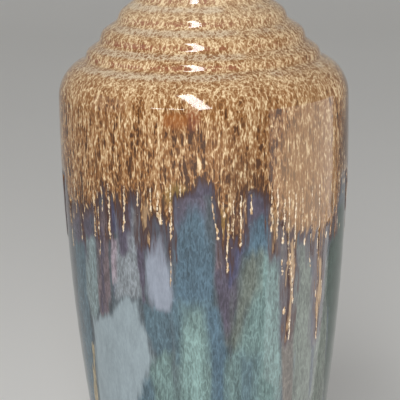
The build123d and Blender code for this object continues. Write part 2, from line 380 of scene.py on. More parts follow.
def turn_gap(turns, centre):
    """Degrees from a centre, the short way round."""
    return (turns - centre + 180) % 360 - 180


def girth():
    """Millimetres round the belly to a degree."""
    return math.radians(1) * settings("form").belly_radius / MM


def wave(turns, times, shift=0):
    """A wave that goes round the vase a number of times."""
    return np.sin(np.radians(turns) * times + shift)


def hump(values, middle, half):
    """A smooth hump that is 1 at its middle and dies away on both sides."""
    return np.exp(-(((values - middle) / half) ** 2))


def run_edge(turns, arch_level):
    """Lowest level of the upper glaze at each turn, in mm, from the arches, the lobes and the runs."""
    edge = np.full(len(turns), arch_level)
    for centre, half, low in LOBES:
        reach = np.abs(turn_gap(turns, centre)) / half
        edge = np.minimum(edge, low + (arch_level - low) * reach**4)
    for centre, width, low in RUNS:
        reach = np.abs(turn_gap(turns, centre)) * girth() / (width / 2)
        edge = np.minimum(edge, low + (arch_level - low) * np.minimum(reach, 2) ** 5)
    ripple = 1.2 * wave(turns, 23, 1) + 0.8 * wave(turns, 41)
    calm_level, fade = 188, 18
    return edge + ripple * np.clip((edge - calm_level) / fade, 0, 1)


def distance_to_edge(turns, levels, arch_level):
    """Distance in mm from each place on the wall to the edge of the upper glaze, positive above it.

    The edge is taken in steps of part of a degree, a little past a full turn. The places are gone through
    in slices, each of which looks only at the edge within a window of so many mm to either side.
    """
    past, steps, window, slices = 190, 3, 14, 400
    edge_turns = np.linspace(-past, past, 2 * past * steps + 1)
    edge_levels = run_edge(edge_turns, arch_level)
    line = np.stack([edge_turns * girth(), edge_levels], 1)
    start, reach = line[:-1], line[1:] - line[:-1]
    places = np.stack([turns * girth(), levels], 1)
    nearest = np.full(len(places), FAR)
    for rows in np.array_split(np.argsort(places[:, 0]), slices):
        across = places[rows]
        low = np.searchsorted(line[:, 0], across[:, 0].min() - window)
        high = np.searchsorted(line[:, 0], across[:, 0].max() + window)
        first, step = start[low:high], reach[low:high]
        offset = across[:, None] - first[None]
        along = np.clip((offset * step).sum(2) / (step**2).sum(1), 0, 1)
        nearest[rows] = np.sqrt(((offset - along[..., None] * step) ** 2).sum(2)).min(1)
    above = levels >= np.interp(turns, edge_turns, edge_levels)
    return np.where(above, nearest, -nearest)


# Meshes

WELD = 0.01 * MM
SHARP = math.radians(50)


def new_verts(geometry):
    """The vertices among what a bmesh operator gives back."""
    return [item for item in geometry if isinstance(item, bmesh.types.BMVert)]


def mesh_from(model, name):
    """The smooth mesh of a finished model, its faces pointing outwards."""
    bmesh.ops.recalc_face_normals(model, faces=model.faces)
    mesh = bpy.data.meshes.new(name)
    model.to_mesh(mesh)
    model.free()
    mesh.shade_smooth()
    return mesh


def stand(name, data):
    """A new object in the scene, at its origin."""
    made = bpy.data.objects.new(name, data)
    bpy.context.scene.collection.objects.link(made)
    return made


def turned_mesh(name, profile):
    """Turn a closed profile about the vase's axis, each vertex keeping its place in the profile.

    One sector is spun, and then doubled until it goes all the way round.
    """
    glaze = settings("glaze")
    model = bmesh.new()
    place = model.verts.layers.int.new("place")
    ring = []
    for number, (across, up) in enumerate(profile):
        vertex = model.verts.new((across, 0, up))
        vertex[place] = number
        ring.append(vertex)
    edges = [model.edges.new(pair) for pair in zip(ring, ring[1:] + ring[:1])]
    sector = 2 * math.pi / 2**glaze.sectors
    bmesh.ops.spin(
        model, geom=ring + edges, axis=(0, 0, 1), angle=sector, steps=glaze.sector_steps, dvec=(0, 0, 0)
    )
    for doubling in range(glaze.sectors):
        whole = model.verts[:] + model.edges[:] + model.faces[:]
        copied = bmesh.ops.duplicate(model, geom=whole)["geom"]
        turned = Matrix.Rotation(sector * 2**doubling, 3, "Z")
        bmesh.ops.rotate(model, verts=new_verts(copied), matrix=turned)
    bmesh.ops.remove_doubles(model, verts=model.verts, dist=WELD)
    return mesh_from(model, name)


def mesh_places(mesh):
    """Coordinates of a mesh's vertices, and their turns in degrees and levels in mm."""
    points = np.zeros(len(mesh.vertices) * 3)
    mesh.vertices.foreach_get("co", points)
    points = points.reshape(-1, 3)
    turns = np.degrees(np.arctan2(points[:, 0], -points[:, 1]))
    return points, turns, points[:, 2] / MM


def profile_numbers(mesh):
    numbers = np.zeros(len(mesh.vertices), np.int32)
    mesh.attributes["place"].data.foreach_get("value", numbers)
    return numbers


def hand_wobble(turns, levels):
    """How far the hand-thrown wall strays from true, in metres."""
    depth, ripples_top, ripples_fade = 0.06 * MM, 250, 30
    angle = np.radians(turns)
    slow = np.sin(2 * angle + levels * 0.031) + 0.6 * np.sin(3 * angle - levels * 0.022 + 1)
    ripples = 0.5 * np.sin(levels * 0.48 + 0.7 * np.sin(angle + 0.4))
    ripples *= np.clip((ripples_top - levels) / ripples_fade, 0, 1)
    return depth * (slow + ripples)


def smoothstep(value, low, high):
    along = np.clip((value - low) / (high - low), 0, 1)
    return along * along * (3 - 2 * along)


def soft_noise(turns, levels, width, height, seed):
    """Smooth noise from -1 to 1 over the wall, with patches of the given width and height in mm."""
    radius = settings("form").belly_radius / MM / width
    angle = np.radians(turns)
    across, deep = radius * np.sin(angle), radius * np.cos(angle)
    return np.array([
        noise.noise(Vector((a, d, up))) for a, d, up in zip(across, deep, levels / height + seed)
    ])


# Fields of the outside glaze, held as attributes


# Levels in mm over which the pattern passes onto the upright wall, and is more and more drawn out
ONTO_WALL = (262, 244)
DRAWN_OUT = (262, 236)
DOME_STRETCH, WALL_ADDS = 1.5, 2.1


def flow_field(points, turns, levels):
    """Where a pattern is read: round the vase as it is, but along the flow, drawn out where the glaze ran."""
    belly = settings("form").belly_radius / MM
    radius = np.hypot(points[:, 0], points[:, 1]) / MM
    reach = radius + (belly - radius) * smoothstep(levels, *ONTO_WALL)
    top = 360
    samples = np.linspace(0, top, 2 * top + 1)
    stretch = DOME_STRETCH + WALL_ADDS * smoothstep(samples, *DRAWN_OUT)
    passed = np.concatenate([[0], np.cumsum(np.diff(samples) / stretch[1:])])
    angle = np.radians(turns)
    return np.stack([reach * np.sin(angle), -reach * np.cos(angle), np.interp(levels, samples, passed)], 1)


def ring_field(turns, levels):
    """Above 0 where glaze pools under a crease of the dome, below 0 where it breaks over the face above.

    Each is a hump, given by its rise over the crease and its half height in mm.
    """
    pool, broken = (-2.1, 1.5), (1.8, 1.3)
    field = np.zeros(len(levels))
    for crease in ring_points(settings("form"), settings("glaze").run_coat)[1:-1:2]:
        above = levels - crease.imag / MM
        field += hump(above, *pool) - hump(above, *broken)
    strong_turn, near, far = -28, 30, 58
    side = 0.3 + 0.7 * smoothstep(np.abs(turn_gap(turns, strong_turn)), far, near)
    return field * (side + 0.7 * soft_noise(turns, levels, 9, 8, 8))


# Patches of the lower glaze, and painted shade down its right side: colour, edge softness in mm, and corners
# as (turn in degrees, level in mm)
PATCHES = (
    ("dusk", 7, ((-82, 196), (-52, 200), (-50, 176), (-57, 160), (-84, 160))),
    ("wine", 6, ((-90, 206), (-50, 206), (-50, 192), (-66, 186), (-90, 186))),
    ("teal", 5, ((-78, 172), (-58, 176), (-60, 120), (-66, 70), (-90, 70))),
    ("slate", 5, ((-90, 180), (-68, 180), (-74, 120), (-82, 20), (-100, 20))),
    ("haze", 4, ((-56, 178), (-50, 182), (-50, 150), (-53, 138), (-58, 136), (-60, 150))),
    ("mauve", 2.5, ((-50, 198), (-40.5, 198), (-43, 170), (-44.5, 141), (-51, 140), (-50, 165))),
    ("dusk", 2, ((-47.5, 186), (-45.5, 186), (-47, 142), (-49, 142))),
    ("indigo", 3, ((-40.5, 201), (-35.5, 201), (-36, 184), (-41, 184))),
    ("blush", 2, ((-40.8, 184), (-36.8, 182), (-37.4, 158), (-41.6, 158))),
    ("indigo", 1.5, ((-40.6, 157.5), (-37.6, 157.5), (-37.6, 153), (-40.8, 153))),
    ("pewter", 4, ((-37, 198), (-25.5, 200), (-26.5, 152), (-40, 152))),
    ("dusk", 4, ((-36, 201), (-30, 202), (-31, 176), (-37, 174))),
    ("taupe", 2, ((-28.5, 200), (-26.4, 200), (-26.6, 184), (-28.6, 184))),
    ("dusk", 1.2, ((-26.6, 190), (-24.6, 192), (-24.6, 176), (-25.9, 150), (-27.3, 150), (-27.4, 172))),
    ("taupe", 1.5, ((-24.6, 205), (-21.8, 205), (-22.4, 184), (-24.8, 182))),
    ("steel", 3, ((-12.5, 214), (2.6, 214), (3.6, 179), (6, 143), (9, 118), (-15, 118), (-13.6, 150))),
    ("dusk", 10, ((-13.5, 218), (3.6, 218), (3.4, 194), (-4, 201), (-12, 192))),
    ("slate", 3, ((0.6, 206), (3, 206), (6, 150), (8, 130), (6, 130), (2.8, 150))),
    ("aqua", 14, ((-10, 150), (0, 148), (4, 110), (8, 20), (-20, 20), (-14, 110))),
    ("mint", 9, ((-9, 137), (-2, 135), (-1, 100), (1, 20), (-14, 20), (-11, 100))),
    ("steel", 6, ((0, 150), (5, 148), (10, 100), (16, 20), (6, 20), (2, 110))),
    ("teal", 4, ((-26.5, 150), (-14.5, 147), (-13.6, 128), (-17, 119), (-22, 122), (-27, 136))),
    ("aqua", 6, ((-24, 122), (-14, 126), (-15, 80), (-22, 20), (-38, 20), (-31, 96))),
    ("teal", 3, ((-33, 104), (-26, 112), (-24, 100), (-30, 60), (-38, 60))),
    ("dusk", 2.5, ((3.2, 188), (10, 186), (12.5, 172), (13, 150), (9, 130), (5.5, 142), (4, 160))),
    ("mauve", 3, ((3.4, 186), (7, 184), (6.4, 170), (4.2, 170))),
    ("indigo", 3, ((9.5, 190), (16.5, 190), (16, 178), (12.5, 164), (9, 160), (8.5, 172))),
    ("steel", 3.5, ((16.4, 204), (25, 200), (26, 168), (14, 168))),
    ("dusk", 3, ((16.4, 206), (25, 203), (25, 194), (20, 196), (15.6, 190))),
    ("aqua", 6, ((21, 176), (28.8, 174), (31.5, 150), (34, 97), (36, 20), (10, 20), (8, 120), (14, 138))),
    ("sage", 9, ((14, 174), (22.4, 176), (22, 158), (15.6, 144), (11.5, 127), (8.4, 130), (12, 152))),
    ("teal", 16, ((14, 122), (20, 120), (19, 90), (21, 20), (15, 20))),
    ("taupe", 1.6, ((29.4, 190), (37.6, 190), (38.4, 140), (41, 95), (45, 20), (38.5, 20), (34.4, 97),
                    (31.4, 150))),
    ("sage", 1.6, ((37.6, 178), (46.6, 178), (49, 140), (53, 95), (58, 20), (45, 20), (41, 95), (38.4, 140))),
    ("taupe", 1.4, ((46.8, 190), (52, 190), (53, 150), (55.6, 124), (52.4, 122), (49.6, 150))),
    ("sage", 2, ((51.4, 180), (58.4, 182), (60, 150), (68, 96), (76, 20), (58, 20), (54, 96))),
    # Painted shade: dark green down the right side of the lower glaze, where the wall turns away from the
    # light
    ("bottle_and_shade", 2, ((58.6, 190), (82, 190), (92, 100), (98, 20), (77, 20), (69, 92), (60.4, 148))),
    ("slate", 8, ((82, 196), (112, 196), (116, 20), (97, 20), (91, 100))),
    ("ochre", 1.4, ((-60.6, 122), (-59.2, 121), (-62.2, 92), (-68, 30), (-73, 30), (-66.5, 92))),
    ("bottle_and_shade", 1.2, ((-58.4, 118), (-57, 116), (-60, 92), (-65, 30), (-68, 30), (-62, 92))),
)
# Pale patches laid over the lower glaze, with crisper, broken edges
CLOUDS = (
    ("lilac", ((-22.5, 183), (-18, 186), (-15.4, 176), (-14, 153), (-15.6, 147), (-22, 147), (-25.2, 156),
               (-25, 170))),
    ("mist", ((-56.5, 136), (-44, 141), (-39, 149), (-35, 153), (-30, 150), (-28.6, 139), (-25, 130),
              (-24.4, 120), (-28, 111), (-33, 98), (-41, 76), (-53, 60), (-63, 74), (-61, 96), (-58.4, 118))),
)
# Spots and tints of the upper glaze, and painted shade on its right side: colour, turn, level, half width in
# degrees, half height in mm, strength
TINTS = (
    ("honey", -10.8, 243.6, 6.2, 4.4, 0.55), ("rust", -4.2, 245, 3, 7, 0.5),
    ("olive", -11, 206, 5, 7, 0.6), ("olive", 6, 192, 3.4, 8, 0.45),
    ("plum", 11, 193, 3.6, 9, 0.6), ("brown", 15, 212, 9, 16, 0.4),
    # The brown at turn 86 is painted shade, darkening the upper glaze down the right side
    ("brown", 21, 232, 15, 24, 0.2), ("brown", 86, 214, 23, 44, 0.9),
    ("fawn", 46, 212, 19, 46, 0.6), ("sand", -23.4, 191, 2, 12, 0.8),
    ("sand", 27, 186, 3, 12, 0.6), ("sand", 34, 158, 4.5, 34, 0.95),
    ("sand", 53, 150, 4.5, 36, 0.95),
)
# Where the coat is too thin to show: turn, half width in degrees, below this level, and by how many mm
THINNED = (
    (-1.5, 5, 360, 6.0),
    (-13.6, 2.5, 194, 2.0),
)
# Trickles of the photographed side: half width in mm, then turn and level of the top and of the tip
TRICKLES = (
    (0.3, (-66, 205), (-67, 186)), (0.45, (-62.7, 208), (-63.6, 190)), (0.4, (-59.1, 186), (-60.4, 176)),
    (0.35, (-55.5, 208), (-56.5, 192)), (0.55, (-48.6, 208), (-50, 181)),
    (0.35, (-46.6, 205), (-47.4, 172)), (0.45, (-44.4, 208), (-44.7, 195)),
    (0.55, (-40.5, 210), (-41.2, 181)), (0.6, (-32.4, 210), (-34.2, 186)),
    (0.45, (-26.8, 209), (-27.2, 200)), (0.45, (-21.2, 210), (-21.3, 197)),
    (0.45, (-18.6, 208), (-18.7, 195)), (1, (-17.9, 197), (-17.9, 191.5)),
    (0.6, (-13.3, 212), (-13.9, 183)), (0.26, (-13.9, 181), (-14.6, 160)), (0.5, (-9.4, 212), (-9.8, 206)),
    (0.5, (2.2, 206), (4.4, 184)), (0.4, (6.7, 203), (6.7, 195)), (0.6, (8.4, 192), (7.9, 167)),
    (0.35, (10.6, 204), (10.2, 184)), (0.5, (13.3, 206), (13.4, 180)), (0.5, (17.7, 206), (17.7, 196)),
    (0.6, (26, 208), (26.4, 186)), (0.4, (28.4, 208), (28.6, 182)), (0.6, (31.5, 202), (31.7, 179)),
    (0.45, (33.8, 206), (34.1, 168)), (0.55, (31.4, 171), (31.8, 163)), (0.6, (35, 170), (37.3, 147)),
    (0.6, (33.2, 146), (33.2, 142)), (0.5, (35.9, 139), (36.4, 128)), (0.45, (37, 204), (37.1, 176)),
    (0.4, (40.4, 206), (40.6, 184)), (0.5, (42.5, 180), (42.5, 176)), (0.5, (45.6, 172), (46.6, 164)),
    (0.3, (45.6, 206), (45.8, 182)), (0.35, (50, 206), (50.8, 170)), (0.55, (51.1, 151), (51.9, 142)),
    (0.3, (51.9, 142), (53.9, 124)), (0.5, (54.9, 155), (55, 152)), (0.5, (56.9, 180), (57, 176)),
    (0.3, (60.5, 206), (61.5, 184)), (0.35, (66, 206), (67, 180)), (0.5, (70.2, 181), (70.4, 178)),
)


def polygon_distance(turns, levels, corners):
    """Distance in mm to a patch's outline, positive inside it."""
    middle = sum(corner[0] for corner in corners) / len(corners)
    places = np.stack([turn_gap(turns, middle) * girth(), levels], 1)
    outline = np.array([((corner[0] - middle) * girth(), corner[1]) for corner in corners])
    nearest = np.full(len(places), FAR)
    inside = np.zeros(len(places), bool)
    for first, last in zip(outline, np.roll(outline, -1, 0)):
        step = last - first
        offset = places - first
        along = np.clip(offset @ step / (step @ step), 0, 1)
        nearest = np.minimum(nearest, np.hypot(*(offset - along[:, None] * step).T))
        crosses = (first[1] > places[:, 1]) != (last[1] > places[:, 1])
        rise = step[1] if step[1] else 1 / FAR
        inside ^= crosses & (offset[:, 0] < step[0] * offset[:, 1] / rise)
    return np.where(inside, nearest, -nearest)


def back_patches():
    """Patches and clouds for the side away from the camera, drawn by chance in the same palette."""
    draw = random.Random(11)
    palette = ("slate", "steel", "aqua", "dusk", "taupe", "sage", "teal", "pewter")
    patches, clouds = [], []
    turn_now = 100
    while turn_now < 258:
        width = draw.uniform(9, 22)
        top = draw.uniform(176, 210)
        low = draw.choice((10, 10, 40, 90))
        lean = draw.uniform(-4, 4)
        corners = (
            (turn_now, top - draw.uniform(0, 12)),
            (turn_now + width, top),
            (turn_now + width + lean, low),
            (turn_now + lean, low + draw.uniform(0, 14)),
        )
        patches.append((draw.choice(palette), draw.uniform(3, 11), corners))
        turn_now += width * draw.uniform(0.45, 0.75)
    for middle in (136, 214):
        top = draw.uniform(130, 182)
        low = draw.uniform(50, 95)
        half = draw.uniform(5, 10)
        clouds.append(("mist", (
            (middle - half, top - 16), (middle - half * 0.3, top),
            (middle + half, top - 9), (middle + half * 1.3, (top + low) / 2),
            (middle + half * 0.4, low), (middle - half * 0.9, low + 12),
        )))
    return patches, clouds


# The least distance in mm to a cloud, as a negative number, for places far from all of them
CLOUDLESS = -60.0


def ground_fields(turns, levels):
    """Colour of the lower glaze with its painted shade on the right, and the distance to its nearest cloud
    with that cloud's colour.
    """
    colours = settings("colours")
    jitter = 2.6 * soft_noise(turns, levels, 2.2, 16, 3) + 1.4 * soft_noise(turns, levels, 6, 22, 40)
    ground = np.tile(np.array(colours.slate), (len(turns), 1))
    more_patches, more_clouds = back_patches()
    for name, softness, corners in (*more_patches, *PATCHES):
        distance = polygon_distance(turns, levels, corners) + jitter
        mask = smoothstep(distance, -softness / 2, softness / 2)[:, None]
        ground = ground * (1 - mask) + np.array(getattr(colours, name)) * mask
    nearest = np.full(len(turns), CLOUDLESS)
    cloud = np.tile(np.array(colours.mist), (len(turns), 1))
    for name, corners in (*more_clouds, *CLOUDS):
        distance = polygon_distance(turns, levels, corners)
        cloud[distance > nearest] = getattr(colours, name)
        nearest = np.maximum(nearest, distance)
    return ground, nearest, cloud


def tint_field(turns, levels):
    """Colour of the nearest spot of the upper glaze or of its painted shade, with its strength as the fourth
    value.
    """
    colours = settings("colours")
    field = np.zeros((len(turns), 4))
    for name, turn_there, level, half_turn, half_height, strength in TINTS:
        reach = np.hypot(turn_gap(turns, turn_there) / half_turn, (levels - level) / half_height)
        mask = strength * smoothstep(reach, 1.25, 0.55)
        inside = mask > field[:, 3]
        field[inside] = (*getattr(colours, name), 0)
        field[inside, 3] = mask[inside]
    return field


# Degrees to either side within which the trickles are those of the photograph
SHOWN_TURN = 68


def trickle_lines():
    """The trickles of the photographed side, and others drawn by chance round the back."""
    draw = random.Random(5)
    lines = list(TRICKLES)
    arch = settings("glaze").arch_level / MM
    turn_now = -180
    while turn_now < 180:
        edge = float(run_edge(np.array([turn_now]), arch)[0])
        half = draw.uniform(0.3, 0.6)
        tip = edge + draw.uniform(-12, 4)
        if abs(turn_now) > SHOWN_TURN:
            top = (turn_now, edge + draw.uniform(8, 16))
            lines.append((half, top, (turn_now + draw.uniform(-0.5, 0.5), tip)))
        turn_now += draw.uniform(1.8, 3.6)
    return lines


def strand_fields(turns, levels):
    """Where each place lies between its neighbouring trickles, and how far inside the nearest one's ends.

    The place is held as the sine and cosine of a phase that is 0 on each trickle, with their spacing in mm,
    so that a thin trickle stays sharp between the columns of the mesh. A trickle swells above its tip.
    """
    limit, past, swell, swell_rise, swell_half = 9.0, 5, 0.5, 1.6, 1.8
    behind, ahead, nearest = [np.full(len(turns), limit) for _ in range(3)]
    reach, half = np.full(len(turns), -limit), np.zeros(len(turns))
    for half_width, (top_turn, top), (tip_turn, tip) in trickle_lines():
        rows = np.flatnonzero((levels > tip - past) & (levels < top + past))
        centre = np.interp(levels[rows], (tip, top), (tip_turn, top_turn))
        aside = turn_gap(turns[rows], centre) * girth()
        rows, aside = rows[np.abs(aside) < limit], aside[np.abs(aside) < limit]
        after, before = rows[aside >= 0], rows[aside < 0]
        behind[after] = np.minimum(behind[after], aside[aside >= 0])
        ahead[before] = np.minimum(ahead[before], -aside[aside < 0])
        closer = np.abs(aside) < nearest[rows]
        rows, aside = rows[closer], aside[closer]
        nearest[rows] = np.abs(aside)
        reach[rows] = np.minimum(levels[rows] - tip, top - levels[rows])
        half[rows] = half_width * (1 + swell * hump(levels[rows] - tip, swell_rise, swell_half))
    phase = 2 * math.pi * behind / (behind + ahead)
    return np.stack([np.sin(phase), np.cos(phase), behind + ahead], 1), np.stack([reach, half, half], 1)


# How a field is stored, by how many numbers it has at each vertex
FIELD_KINDS = {1: ("FLOAT", "value"), 3: ("FLOAT_VECTOR", "vector"), 4: ("FLOAT_COLOR", "color")}


def paint_fields(mesh, points, turns, levels, edge_distance):
    """Store at each vertex the fields that the outside glaze reads."""
    ground, cloud_distance, cloud = ground_fields(turns, levels)
    strand, strand_size = strand_fields(turns, levels)
    ones = np.ones((len(turns), 1))
    for middle, half_turn, below, rise in THINNED:
        thinning = rise * hump(turn_gap(turns, middle), 0, half_turn)
        edge_distance = edge_distance - thinning * (levels < below)
    fields = {
        "flow": flow_field(points, turns, levels),
        "edge": edge_distance,
        "strand": strand,
        "strand_size": strand_size,
        "ring": ring_field(turns, levels),
        "cloud": cloud_distance,
        "tint": tint_field(turns, levels),
        "ground_colour": np.hstack([ground, ones]),
        "cloud_colour": np.hstack([cloud, ones]),
    }
    for name, values in fields.items():
        kind, part = FIELD_KINDS[values.size // len(turns)]
        made = mesh.attributes.new(name, kind, "POINT")
        made.data.foreach_set(part, np.ascontiguousarray(values, np.float32).ravel())


def finish_coat(name, node, material, mesh, points, turns, levels, edge_distance):
    """Put a coat's vertices in place, paint its fields, and hide its node so that the coat stands in its
    place.
    """
    mesh.vertices.foreach_set("co", points.ravel())
    paint_fields(mesh, points, turns, levels, edge_distance)
    mesh.attributes.remove(mesh.attributes["place"])
    mesh.set_sharp_from_angle(angle=SHARP)
    mesh.materials.append(bpy.data.materials[material])
    piece = stand(name, mesh)
    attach(piece, "root")
    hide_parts(node)


# Shader building blocks


class Nodes:
    """Adds nodes to a tree and links them."""

    def __init__(self, tree):
        self.tree = tree

    def fill(self, node, values):
        """Give a node's inputs their values, each a plain one or a socket to link."""
        for place, value in values.items():
            if isinstance(value, bpy.types.NodeSocket):
                self.tree.links.new(value, node.inputs[place])
            else:
                node.inputs[place].default_value = value
        return node

    def add(self, kind, values=None, **facts):
        made = self.tree.nodes.new("ShaderNode" + kind)
        for name, fact in facts.items():
            setattr(made, name, fact)
        return self.fill(made, values or {})

    def group(self, group, **values):
        """A placed group, its sockets given by their names in small letters."""
        named = {name.capitalize(): value for name, value in values.items()}
        return self.add("Group", named, node_tree=group)

    def attribute(self, name, output="Fac"):
        return self.add("Attribute", attribute_name=name).outputs[output]

    def places(self):
        return self.add("TexCoord").outputs["Object"]

    def parts(self, vector):
        return self.add("SeparateXYZ", {0: vector}).outputs

    def math(self, operation, *values):
        return self.add("Math", dict(enumerate(values)), operation=operation).outputs[0]

    def product(self, first, second):
        return self.math("MULTIPLY", first, second)

    def vector_math(self, operation, first, second):
        return self.add("VectorMath", {0: first, 1: second}, operation=operation).outputs[0]

    def scaled(self, vector, *shares):
        return self.vector_math("MULTIPLY", vector, shares)

    def moved(self, vector, *shift):
        return self.vector_math("ADD", vector, shift)

    def times(self, vector, scale):
        """A vector or a colour, all of it times one value."""
        return self.add("VectorMath", {0: vector, "Scale": scale}, operation="SCALE").outputs[0]

    def noise(self, vector, scale, detail=2.0, roughness=0.5):
        """A noise as a value and as a colour."""
        values = {"Vector": vector, "Scale": scale, "Detail": detail, "Roughness": roughness}
        return self.add("TexNoise", values).outputs

    def tone(self, vector, scale, detail=2.0, roughness=0.5):
        """Noise about 0, mostly within a quarter either way."""
        return self.math("SUBTRACT", self.noise(vector, scale, detail, roughness)[0], 0.5)

    def total(self, *values):
        """A sum of values, each a socket, a number, or a socket with its weight."""
        terms = [self.product(*value) if isinstance(value, tuple) else value for value in values]
        result = terms[0]
        for term in terms[1:]:
            result = self.math("ADD", result, term)
        return result

    def step(self, value, low, high, start=0.0, end=1.0):
        """A smooth step from start to end as the value passes from low to high."""
        values = {"Value": value, "From Min": low, "From Max": high, "To Min": start, "To Max": end}
        return self.add("MapRange", values, interpolation_type="SMOOTHSTEP").outputs[0]

    def mix(self, factor, first, second):
        return self.add("Mix", {0: factor, 6: first, 7: second}, data_type="RGBA").outputs[2]


def new_group(name, inputs, outputs):
    """The nodes of a new group with named sockets, its input sockets and the node that takes its results."""
    tree = bpy.data.node_groups.new(name, "ShaderNodeTree")
    kinds = {"value": "NodeSocketFloat", "colour": "NodeSocketColor", "vector": "NodeSocketVector"}
    for way, sockets in (("INPUT", inputs), ("OUTPUT", outputs)):
        for socket, kind in sockets.items():
            tree.interface.new_socket(name=socket, in_out=way, socket_type=kinds[kind])
    start = tree.nodes.new("NodeGroupInput")
    return Nodes(tree), start.outputs, tree.nodes.new("NodeGroupOutput")


def fleck_group():
    """Curdled flecks: a mask that is 1 in a fleck, from a warped noise cut off at a level."""
    inputs = {"Vector": "vector", "Scale": "value", "Cover": "value", "Softness": "value", "Warp": "value"}
    nodes, given, result = new_group("Curdled flecks", inputs, {"Mask": "value", "Tone": "value"})
    warp = nodes.noise(given["Vector"], nodes.product(given["Scale"], 0.5), 1.0)[1]
    centred = nodes.vector_math("SUBTRACT", warp, (0.5, 0.5, 0.5))
    moved = nodes.vector_math("ADD", given["Vector"], nodes.times(centred, given["Warp"]))
    tone = nodes.noise(moved, given["Scale"], 3.0, 0.6)[0]
    level = nodes.math("SUBTRACT", 1.0, given["Cover"])
    low = nodes.math("SUBTRACT", level, given["Softness"])
    high = nodes.math("ADD", level, given["Softness"])
    nodes.fill(result, {"Mask": nodes.step(tone, low, high), "Tone": tone})
    return nodes.tree


def net_group():
    """A net of thin strands: a mask that is 1 along the level lines of a warped noise."""
    inputs = {"Vector": "vector", "Scale": "value", "Width": "value"}
    nodes, given, result = new_group("Strand net", inputs, {"Mask": "value"})
    tone = nodes.tone(given["Vector"], given["Scale"], 2.0, 0.45)
    near = nodes.step(nodes.math("ABSOLUTE", tone), given["Width"], 0.0)
    nodes.fill(result, {"Mask": nodes.product(near, near)})
    return nodes.tree


def ragged_group():
    """A distance turned into a mask whose edge is broken by noise."""
    inputs = dict.fromkeys(("Distance", "Scale", "Raggedness", "Softness"), "value")
    nodes, given, result = new_group("Ragged edge", {**inputs, "Vector": "vector"}, {"Mask": "value"})
    tone = nodes.tone(given["Vector"], given["Scale"], 3.0, 0.6)
    moved = nodes.total(given["Distance"], (tone, given["Raggedness"]))
    low, high = nodes.product(given["Softness"], -0.5), nodes.product(given["Softness"], 0.5)
    nodes.fill(result, {"Mask": nodes.step(moved, low, high)})
    return nodes.tree


# Inputs of the outside glaze; the lower glaze's own colours come from its fields
GLAZE_COLOURS = ("cream", "straw", "amber", "brown", "rust", "ash", "plum", "violet", "bead")
# Levels in metres over which the colour grows paler, onto the dome and again near its top: partly the glaze's
# own paler net, partly painted light on the upward-facing top
DOME_FADE = (0.240, 0.262)
SUMMIT_FADE = (0.274, 0.298)


